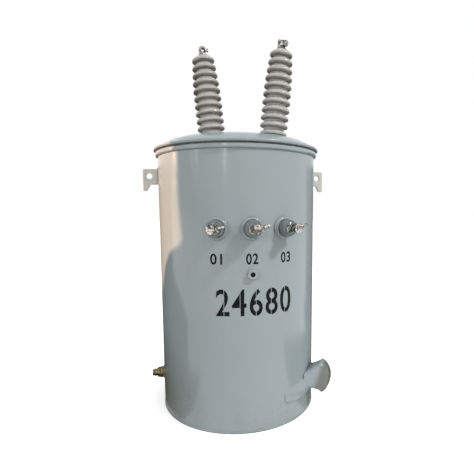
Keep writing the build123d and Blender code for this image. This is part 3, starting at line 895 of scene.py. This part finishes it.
# %% Sections of the trumpet
# distance back from the face, half width, half height, centre height, power, rounding
STATIONS = [
    (0.0690, 0.0560, 0.0300, 0.1010, 2.8, 0.00),
    (0.0640, 0.0500, 0.0305, 0.1015, 3.0, 0.00),
    (0.0560, 0.0430, 0.0325, 0.1030, 3.4, 0.03),
    (0.0470, 0.0378, 0.0350, 0.1052, 4.0, 0.10),
    (0.0370, 0.0335, 0.0376, 0.1070, 4.6, 0.25),
    (0.0270, 0.0300, 0.0404, 0.1080, 5.6, 0.50),
    (0.0180, 0.0276, 0.0432, 0.1080, 7.0, 0.80),
    (0.0120, 0.0264, 0.0452, 0.1075, 8.5, 0.97),
    (0.0085, 0.0254, 0.0456, 0.1073, 8.5, 1.00),
    (0.0050, 0.0238, 0.0448, 0.1075, 7.0, 1.00),
    (0.0025, 0.0212, 0.0420, 0.1080, 4.2, 1.00),
    (0.0010, 0.0180, 0.0376, 0.1085, 3.4, 1.00),
    (0.0003, 0.0140, 0.0290, 0.1090, 3.2, 1.00),
    (0.0000, 0.0102, 0.0207, 0.1090, 3.6, 1.00),
    (0.0006, 0.0095, 0.0200, 0.1090, 3.6, 1.00),
    (0.0056, 0.0095, 0.0200, 0.1090, 3.6, 1.00),
    (0.0060, 0.0150, 0.0290, 0.1090, 3.2, 1.00),
    (0.0150, 0.0190, 0.0340, 0.1080, 3.0, 0.60),
    (0.0350, 0.0260, 0.0270, 0.1060, 2.7, 0.15),
    (0.0640, 0.0430, 0.0140, 0.1015, 2.4, 0.00),
]
print(len(STATIONS), "sections")

# %% Press the trumpet
FACE_RADIUS = 0.062
SET_BACK_BELOW = 0.72


def set_back(amount):
    """Push points back as they get higher or lower, so that the face is rounded."""
    def bulge(x, y):
        share = amount * (SET_BACK_BELOW if y < 0 else 1.0)
        depth = FACE_RADIUS - math.sqrt(max(FACE_RADIUS ** 2 - y * y, 0))
        return -bracket_out * share * depth
    return bulge


mouth = pole_place.dot(bracket_out)
rings = []
for back, half_width, half_height, height, power, rounded in STATIONS:
    centre = bracket_out * (mouth - back) + UP * height
    size = (half_width, half_height, power)
    rings.append(section(centre, bracket_across, UP, *size, bulge=set_back(rounded)))
trumpet = loft("bracket_trumpet", rings, mouth_paint, caps=False)
print("pressed the trumpet, its face", round(mouth, 3), "m out from the axis")

# %% [markdown]
# The pads start thick under the fold of the trumpet and thin out along the wall. Across,
# a pad has a steep lower edge and a long upper slope. Its sections are laid on the round
# wall, each at its own angle, so the pad wraps the tank without a gap.

# %% Lay the pads on the wall
# angle from the bracket's middle, lower edge, upper edge, thickness
PAD = [(7.0, 0.074, 0.116, 0.016), (11.0, 0.071, 0.116, 0.0145), (14.5, 0.064, 0.1145, 0.0125)]
PAD += [(18.0, 0.058, 0.1125, 0.0105), (22.0, 0.0570, 0.1095, 0.0085), (27.0, 0.0600, 0.1060, 0.0070)]
PAD += [(30.5, 0.0630, 0.1035, 0.0060), (32.0, 0.0655, 0.1015, 0.0045), (32.5, 0.071, 0.097, 0.0015)]
PAD_POINTS = 26
LOWER_EDGE_SHARE = 0.14
SLOPE_STARTS = 0.30
SLOPE_POWER = 1.2


def pad_section(azimuth, low, high, thick):
    """A steep lower edge, full thickness above it, then a long slope to the wall."""
    points = []
    for k in range(PAD_POINTS + 1):
        u = k / PAD_POINTS
        rise = math.sin(min(u / LOWER_EDGE_SHARE, 1) * math.pi / 2)
        down = max((u - SLOPE_STARTS) / (1 - SLOPE_STARTS), 0)
        fall = math.cos(down * math.pi / 2) ** SLOPE_POWER if u < 1 else 0
        points.append(wall(azimuth, low + (high - low) * u, thick * rise * fall - 0.0006))
    return points + [wall(azimuth, high, -0.002), wall(azimuth, low, -0.002)]


for side, sign in (("near", -1), ("far", 1)):
    rings = [pad_section(bracket_azimuth + sign * turn, *shape) for turn, *shape in PAD]
    pad = loft("bracket_pad_" + side, rings, paint)
    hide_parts("pole_bracket")
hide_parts("pole_bracket")
print("laid two pads of", len(PAD), "sections each")

# %% [markdown]
# ## Clamps on top of the porcelain
# Each clamp sits on a turned collar. The left clamp is an eye that faces the front. The
# right one has a flat post and, beside it, a round knurled nut on a pin, with an open V
# between them. The knurl is real geometry, since it breaks the nut's outline.

# %% Collars of the top clamps
COLLAR = [(0.0065, 0.0), (0.0128, 0.0), (0.0132, 0.0005), (0.0132, 0.0022), (0.0120, 0.0032)]
COLLAR += [(0.0104, 0.0040), (0.0100, 0.0048), (0.0066, 0.0050)]
EYE_ABOVE_COLLAR = 0.0150

for side in ("left", "right"):
    base, axis = bushing_axis(side)
    eye = mounts["hv_wire_" + side]
    foot = base + axis * ((eye - base).dot(axis) - EYE_ABOVE_COLLAR)
    name = "hv_collar_" + side
    lathe(name, COLLAR, foot, axis, tin, segments=48, smooth=30.0, close=True)
print("two collars,", len(COLLAR), "points to a profile")

# %% [markdown]
# The nut is one lathe profile that steps in and out, and the post is a short loft with a
# rounded top. Both are placed from the mount where the wire goes, and face a little left
# of the front, as the wire would have pulled them.

# %% Nut, pin and post of the right clamp
NUT_RADIUS = 0.0090
KNURL_DEPTH = 0.0005
KNURL_STEP = 0.0008
KNURL_ROWS = 9
NUT_OFFSET = 0.0098
POST_OFFSET = 0.0088
CLAMP_AZIMUTH = -12

eye = mounts["hv_wire_right"]
axis = bushing_axis("right")[1]
face = outward(CLAMP_AZIMUTH)
right = outward(CLAMP_AZIMUTH + 90)
nut = [(0.0034, 0.0), (0.0084, 0.0)]
for k in range(KNURL_ROWS):
    nut.append((NUT_RADIUS - (KNURL_DEPTH if k % 2 else 0.0), KNURL_STEP + KNURL_STEP * k))
nut += [(0.0084, 0.0082), (0.0034, 0.0082), (0.0032, 0.0070)]
nut_place = eye + right * NUT_OFFSET - UP * 0.0005 + face * 0.0055
nut_back = nut_place - face * 0.0041
lathe("hv_nut_right", nut, nut_back, face, tin, segments=40, smooth=25.0, close=True)
pin = [(0.0, 0.0), (0.0030, 0.0), (0.0030, 0.0145), (0.0024, 0.0152), (0.0, 0.0152)]
pin_back = nut_place - face * 0.0070
lathe("hv_pin_right", pin, pin_back, face, dark_tin, segments=24)

# height, half width, half depth, power
POST = [(-0.012, 0.0042, 0.0085, 5.0), (0.0, 0.0042, 0.0085, 5.0), (0.0095, 0.0042, 0.0085, 5.0)]
POST.append((0.0107, 0.0034, 0.0075, 4.0))
post_foot = eye - right * POST_OFFSET
post = []
for height, half_width, half_depth, power in POST:
    post.append(section(post_foot + axis * height, right, face, half_width, half_depth, power))
loft("hv_post_right", post, tin, smooth=40.0)
print("finished the right clamp")

# %% [markdown]
# ## Thread of the ground boss
# The ground boss has a tapped hole for a half-inch bolt. A true helix would need a start
# and a run-out that nobody can see down the hole, so the thread is a stack of sharp
# rings, spaced as the turns are, with a shallow drilled bottom behind it.

# %% Thread the ground boss
HOLE_RADIUS = 0.0064
THREAD_PITCH = 0.0014
THREAD_TURNS = 5
THREAD_DEPTH = THREAD_PITCH * 0.55
INWARD = Vector((0, 1, 0))

thread = []
for k in range(THREAD_TURNS):
    thread.append((HOLE_RADIUS, k * THREAD_PITCH))
    thread.append((HOLE_RADIUS - THREAD_DEPTH, (k + 0.5) * THREAD_PITCH))
thread.append((HOLE_RADIUS, THREAD_TURNS * THREAD_PITCH))
boss = middle("ground_boss")
face = Vector((boss.x, corners_of("ground_boss")[0].y, boss.z))
first_turn = face + INWARD * 0.0016
# The thread and the drilled bottom take the painted shade of the hole.
lathe("ground_threads", thread, first_turn, INWARD, dark_hole, segments=40, smooth=25.0)
drilled = [(0.0, 0.0), (0.003, 0.0004), (HOLE_RADIUS, 0.0)]
hole_end = face + INWARD * 0.0086
lathe("ground_bottom", drilled, hole_end, -INWARD, dark_hole, segments=32)
print("threaded the ground boss,", THREAD_TURNS, "turns")

# %% [markdown]
# ## Spring washers
# Under each low-voltage clamp sits a spring washer, a dull ring a little wider than the
# stud. It is a lathe profile whose end joins its start, because it is open in the middle.

# %% Spring washers on the low-voltage studs
WASHER = [(0.0085, 0.0), (0.0142, 0.0), (0.0146, 0.0004), (0.0146, 0.0014)]
WASHER += [(0.0142, 0.0018), (0.0085, 0.0018)]
WASHER_BEHIND_WIRE = 0.0215

for k in "123":
    inner = middle("lv_gasket_" + k)
    axis = outward(azimuth_of(inner))
    origin = axis * (mounts["lv_wire_" + k].dot(axis) - WASHER_BEHIND_WIRE) + UP * inner.z
    name = "lv_spring_washer_" + k
    lathe(name, WASHER, origin, axis, dark_tin, segments=48, smooth=30.0, close=True)
print("three spring washers")

# %% [markdown]
# ## Stencilled numbers
# Plain numbers stand in the two places that carry paint through a stencil: a pair of
# figures below each low-voltage bushing, and a wide row of figures below the ground boss.
# Blender's own text gives the shapes. It is turned into a mesh at once, because a text
# can't be bent round a wall by hand.

# %% Flat figures
def flat_figures(name, text, weight):
    """A mesh of the text, from a curve that is removed again."""
    curve = bpy.data.curves.new(name, "FONT")
    curve.body = text
    curve.offset = weight
    curve.space_character = 1.12
    flat = bpy.data.objects.new(name + "_flat", curve)
    bpy.context.scene.collection.objects.link(flat)
    bpy.context.view_layer.update()
    depsgraph = bpy.context.evaluated_depsgraph_get()
    mesh = bpy.data.meshes.new_from_object(flat.evaluated_get(depsgraph))
    bpy.data.objects.remove(flat)
    return mesh


def fitted(value, values, low, high):
    """The value moved from its range among the values to low..high."""
    return low + (value - min(values)) / (max(values) - min(values)) * (high - low)


print("helpers: flat_figures, fitted")

# %% [markdown]
# The faces of a flat figure are wide, and would cut through the round wall as chords. So
# the figures are first cut into narrow upright strips, which can bend. The wide figures
# also get a thin bridge, because without one the loose middle of a real stencil would
# fall out.

# %% Cut the figures
WIDE_STRIPS = 60
NARROW_STRIPS = 12


def cut_figures(shape, left, right, figures, bridge):
    """Cut a row of figures into strips, and take out the bridges."""
    width = right - left
    strips = WIDE_STRIPS if bridge else NARROW_STRIPS
    cuts = [left + width * k / strips for k in range(1, strips)]
    gaps = [left + width * (k + 0.5) / figures for k in range(figures)] if bridge else []
    cuts += [gap + side * bridge for gap in gaps for side in (-1, 1)]
    for cut in cuts:
        everything = shape.verts[:] + shape.edges[:] + shape.faces[:]
        plane = {"plane_co": (cut, 0, 0), "plane_no": (1, 0, 0)}
        bmesh.ops.bisect_plane(shape, geom=everything, dist=1e-7, **plane)
    middles = [(f, f.calc_center_median().x) for f in shape.faces]
    gone = [f for f, x in middles if any(abs(x - gap) < bridge for gap in gaps)]
    bmesh.ops.delete(shape, geom=gone, context="FACES")


print("cut into", WIDE_STRIPS, "or", NARROW_STRIPS, "strips")

# %% [markdown]
# A text could be pressed onto the wall by a modifier, but laying each point by its length
# along the arc keeps the figures as wide as they were drawn. Paint creeps a little under
# a stencil, so noise frays the edges, and the paint is a film with a real thickness.

# %% Bend the figures round the wall
FILM = 0.00015
FILM_LIFT = 0.0002
FRAY = 0.00035


def stencilled(name, text, azimuths, heights, weight, bridge=0.0):
    """Figures on the wall; a bridge is a gap in the middle of each of them."""
    mesh = flat_figures(name, text, weight)
    shape = bmesh.new()
    shape.from_mesh(mesh)
    xs = [v.co.x for v in shape.verts]
    ys = [v.co.y for v in shape.verts]
    left, right = (math.radians(a) * tank_radius for a in azimuths)
    for v in shape.verts:
        v.co = (fitted(v.co.x, xs, left, right), fitted(v.co.y, ys, *heights), 0)
    cut_figures(shape, left, right, len(text), bridge)
    for v in shape.verts:
        wander = FRAY * noise.noise(Vector((v.co.x * 150, v.co.y * 150, 3)))
        azimuth = math.degrees((v.co.x + wander) / tank_radius)
        v.co = wall(azimuth, v.co.y + wander, FILM_LIFT)
    shape.to_mesh(mesh)
    shape.free()
    obj = placed(name, mesh, stencil)
    coat = obj.modifiers.new("coat", "SOLIDIFY")
    coat.thickness = FILM
    coat.offset = -1
    return obj


print("the paint is", FILM * 1000, "mm thick")

# %% Stencil the numbers
HALF_PAIR = 3.9
PAIR_HEIGHTS = (0.4695, 0.4985)
ROW_SPAN = (-23.4, 28.2)
ROW_HEIGHTS = (0.3305, 0.404)

for k, azimuth in enumerate((-22.8, 0.0, 23.8), 1):
    span = (azimuth - HALF_PAIR, azimuth + HALF_PAIR)
    stencilled("number_%d" % k, "0%d" % k, span, PAIR_HEIGHTS, weight=0.02)
stencilled("number_row", "24680", ROW_SPAN, ROW_HEIGHTS, weight=0.012, bridge=0.0009)
print("stencilled three pairs and one row")

# %% [markdown]
# ## Light
# The tank stands in open shade. A broad pale sky lights it from the front, a small lamp
# high at the right draws a bright spot on the gloss, and a large lamp fills in from the
# left. That one is hidden from reflections, or the wall would show it as a white board.

# %% Lamps
AIM = Vector((0, 0, 0.45))


def area_lamp(name, width, height, watts):
    """A rectangular lamp, not yet placed."""
    data = bpy.data.lights.new(name, "AREA")
    data.shape = "RECTANGLE"
    data.size = width
    data.size_y = height
    data.energy = watts
    obj = bpy.data.objects.new(name, data)
    bpy.context.scene.collection.objects.link(obj)
    return obj


def lamp(name, azimuth, elevation, distance, size, watts, colour):
    """A lamp aimed at the middle of the tank."""
    obj = area_lamp(name, *size, watts)
    obj.data.color = colour
    e = math.radians(elevation)
    rise = Vector((0, 0, math.sin(e) * distance))
    obj.location = AIM + outward(azimuth) * math.cos(e) * distance + rise
    obj.rotation_euler = (AIM - obj.location).to_track_quat("-Z", "Y").to_euler()
    return obj


key_place = {"azimuth": 46, "elevation": 42, "distance": 3.0}
lamp("key", **key_place, size=(0.24, 0.24), watts=40, colour=(1, 0.98, 0.95))
front_place = {"azimuth": -52, "elevation": 15, "distance": 3.5}
front_lamp = lamp("front", **front_place, size=(2.2, 1.6), watts=34, colour=(0.96, 0.98, 1))
front_lamp.visible_glossy = False
print("two lamps")

# %% [markdown]
# A round gloss wall squeezes whatever it mirrors into upright lines. Three thin strip
# lamps, which hardly light anything, give the wall such lines: gaps between trees on the
# real one. Painted lines would stay put when the tank turns, and these move as they should.

# %% Strip lamps for the gloss
def strip(name, azimuth, low, high, width, watts):
    """An upright strip lamp, 3 m away; the gloss of the wall draws it as a thin line."""
    obj = area_lamp(name, width, high - low, watts)
    obj.location = outward(azimuth) * 3.0 + UP * (low + high) / 2
    obj.rotation_euler = outward(azimuth).to_track_quat("Z", "Y").to_euler()
    return obj


strip("strip_middle", -24, low=1.02, high=1.50, width=0.012, watts=2.4)
strip("strip_left", -71, low=1.10, high=1.60, width=0.05, watts=0.7)
strip("strip_left_2", -64, low=1.12, high=1.60, width=0.04, watts=1.6)
print("three strips")

# %% [markdown]
# The world is two things at once. To the camera and in reflections it is plain white. To
# everything else it is a sky, brighter in front and above than behind, so the shape
# reads. Light Path tells the two kinds of ray apart, which keeps the white off the paint.

# %% World
SKY_SIDE = (-0.16, -0.70, 0.69)
SKY_BEHIND = (0.26, 0.27, 0.27)
SKY_FRONT = (0.41, 0.43, 0.45)


def seen(tree):
    """1 for rays that show the surroundings: camera, mirror and glass rays."""
    path = put(tree, "ShaderNodeLightPath").outputs
    either = larger(tree, path["Is Camera Ray"], path["Is Glossy Ray"])
    return larger(tree, either, path["Is Transmission Ray"])


world = bpy.data.worlds.new("world")
bpy.context.scene.world = world
world.use_nodes = True
tree = world.node_tree
background = tree.nodes["Background"]
direction = put(tree, "ShaderNodeTexCoord").outputs["Generated"]
front = step(tree, measure(tree, "DOT_PRODUCT", direction, SKY_SIDE), -0.55, 0.55)
tree.links.new(blend(tree, front, SKY_BEHIND, SKY_FRONT), background.inputs["Color"])
background.inputs["Strength"].default_value = 1.0
white = put(tree, "ShaderNodeBackground", {"Color": (1, 1, 1, 1), "Strength": 1.0})
mix = put(tree, "ShaderNodeMixShader", {0: seen(tree)})
tree.links.new(background.outputs[0], mix.inputs[1])
tree.links.new(white.outputs[0], mix.inputs[2])
tree.links.new(mix.outputs[0], tree.nodes["World Output"].inputs["Surface"])
print("the sky is brightest towards", SKY_SIDE)

# %% [markdown]
# ## Floor
# The floor is white to the eye, except close round the tank, where the shadow shows. The
# light that bounces off it onto the tank comes as from pale ground, and on the left as
# from grass, which darkens and warms the lower left of the wall.

# %% Floor
FLOOR_SEEN = (0.86, 0.86, 0.85)
FLOOR_BOUNCE = (0.95, 0.95, 0.93)
GRASS = (0.20, 0.19, 0.10)
GRASS_SIDE = (-0.95, -0.3, 0)

bpy.ops.mesh.primitive_plane_add(size=40)
floor = bpy.context.object
floor.name = "floor"
floor_material, tree, shader = start("floor")
bounced = put(tree, "ShaderNodeLightPath").outputs["Is Diffuse Ray"]
leftward = measure(tree, "DOT_PRODUCT", position(tree), GRASS_SIDE)
on_grass = times(tree, bounced, step(tree, leftward, 0.0, 0.5))
colour = blend(tree, bounced, FLOOR_SEEN, FLOOR_BOUNCE)
colour = blend(tree, on_grass, colour, GRASS)
wire(tree, shader, Base_Color=colour, Roughness=0.9, Emission_Color=(1, 1, 1, 1))
away = measure(tree, "LENGTH", position(tree))
glow = times(tree, seen(tree), step(tree, away, 0.235, 0.35, 0.6, 1.0))
wire(tree, shader, Emission_Strength=glow)
floor.data.materials.append(floor_material)
print("laid the floor,", round(floor.dimensions.x), "m across")

# %% [markdown]
# ## What the gloss mirrors
# A gloss tank in an all-white set looks like chalk, because its edges mirror only white.
# In a yard they mirror a fence and dark ground. So dull boards stand round the back and
# sides: a curved fence, sheets on the ground, and a low curb at the left. The camera
# doesn't see them, and all but the curb are also hidden from diffuse and shadow rays, so
# that they darken reflections and nothing else.

# %% Boards
def board(name, corners, colour, faces):
    """A dull board beside the set, which the camera doesn't see."""
    mesh = bpy.data.meshes.new(name)
    mesh.from_pydata([tuple(c) for c in corners], [], faces)
    obj = bpy.data.objects.new(name, mesh)
    bpy.context.scene.collection.objects.link(obj)
    material, tree, shader = start(name)
    wire(tree, shader, Base_Color=(*colour, 1), Roughness=0.9)
    mesh.materials.append(material)
    obj.visible_camera = False
    return obj


print("helper: board")

# %% Curved boards
ARC_STEPS = 24


def arc(first, last):
    """Azimuths from the first to the last."""
    return [first + (last - first) * k / ARC_STEPS for k in range(ARC_STEPS + 1)]


def curved(name, corners, colour):
    """A board from two rows of corners, seen only in reflections."""
    row = ARC_STEPS + 1
    faces = [(k, k + 1, k + row + 1, k + row) for k in range(ARC_STEPS)]
    obj = board(name, corners, colour, faces)
    obj.visible_diffuse = False
    obj.visible_shadow = False
    return obj


print("helpers: arc, curved")

# %% Fence, curb and sheets
FENCE_GREY = (0.09, 0.09, 0.08)
CURB_BROWN = (0.075, 0.07, 0.03)
GROUND_GREY = (0.12, 0.12, 0.10)
GROUND_BROWN = (0.07, 0.065, 0.03)
SHEET_HEIGHT = 0.004


def fence(first, last, first_top, last_top, distance, colour):
    """A curved fence between two azimuths; its top may slope."""
    corners = [outward(a) * distance for a in arc(first, last)]
    for k, a in enumerate(arc(first, last)):
        share = (k / ARC_STEPS) ** 2
        top = first_top + (last_top - first_top) * share
        corners.append(outward(a) * distance + UP * top)
    return curved("fence_%d" % (first % 360), corners, colour)


def ground_sheet(first, last, near, far, colour):
    """A dark sheet on the ground between two azimuths and two distances."""
    rise = UP * SHEET_HEIGHT
    corners = [outward(a) * distance + rise for distance in (near, far) for a in arc(first, last)]
    return curved("sheet_%d" % first, corners, colour)


fence(104, 252, first_top=0.9, last_top=0.9, distance=1.6, colour=FENCE_GREY)
ground_sheet(50, 98, near=0.243, far=0.9, colour=GROUND_GREY)
ground_sheet(98, 272, near=0.25, far=1.6, colour=GROUND_GREY)
curb = fence(-125, -71, first_top=0.44, last_top=0.20, distance=0.58, colour=CURB_BROWN)
ground_sheet(-130, -54, near=0.25, far=0.58, colour=GROUND_BROWN)
curb.visible_diffuse = True
curb.visible_shadow = True
print("two fences and three sheets")

# %% [markdown]
# ## Low sun
# One patch of warm sun lies on the left of the wall. Painted on, it would stay when the
# light changes. So a real sun lamp shines through a window in a large board, and the
# window is the patch itself, carried back along the sun's rays.

# %% Sun through a window
SUN_AZIMUTH = -102
SUN_ELEVATION = math.radians(14)
SHADE_DISTANCE = 3.6
SHADE_SPREAD = 60.0
SHADE_GREY = (0.16, 0.16, 0.14)
# corners of the patch: azimuth and height on the wall
PATCH = [(-51.5, 0.80), (-51.0, 0.66), (-49.0, 0.57), (-48.0, 0.535), (-50.5, 0.517), (-56.0, 0.507)]
PATCH += [(-63.0, 0.490), (-70.0, 0.45), (-77.0, 0.385), (-84.0, 0.36), (-99.0, 0.36), (-101.0, 0.80)]

to_sun = outward(SUN_AZIMUTH) * math.cos(SUN_ELEVATION) + UP * math.sin(SUN_ELEVATION)
window = [wall(azimuth, height) for azimuth, height in PATCH]
inner = [p + to_sun * (SHADE_DISTANCE - p.dot(to_sun)) for p in window]
centre = sum(inner, Vector()) / len(inner)
outer = [centre + (p - centre) * SHADE_SPREAD for p in inner]
count = len(inner)
faces = [(k, (k + 1) % count, count + (k + 1) % count, count + k) for k in range(count)]
card = board("shade", inner + outer, SHADE_GREY, faces)
card.visible_glossy = False
card.visible_diffuse = False

sun_data = bpy.data.lights.new("low_sun", "SUN")
sun_data.energy = 5.0
sun_data.angle = math.radians(0.25)
sun_data.color = (1.0, 0.60, 0.41)
sun = bpy.data.objects.new("low_sun", sun_data)
bpy.context.scene.collection.objects.link(sun)
sun.rotation_euler = to_sun.to_track_quat("Z", "Y").to_euler()
print("sun through a window of", count, "corners")

# %% [markdown]
# ## Colour
# The standard view shows a colour as it is written.

# %% Colour management
bpy.context.scene.view_settings.view_transform = "Standard"
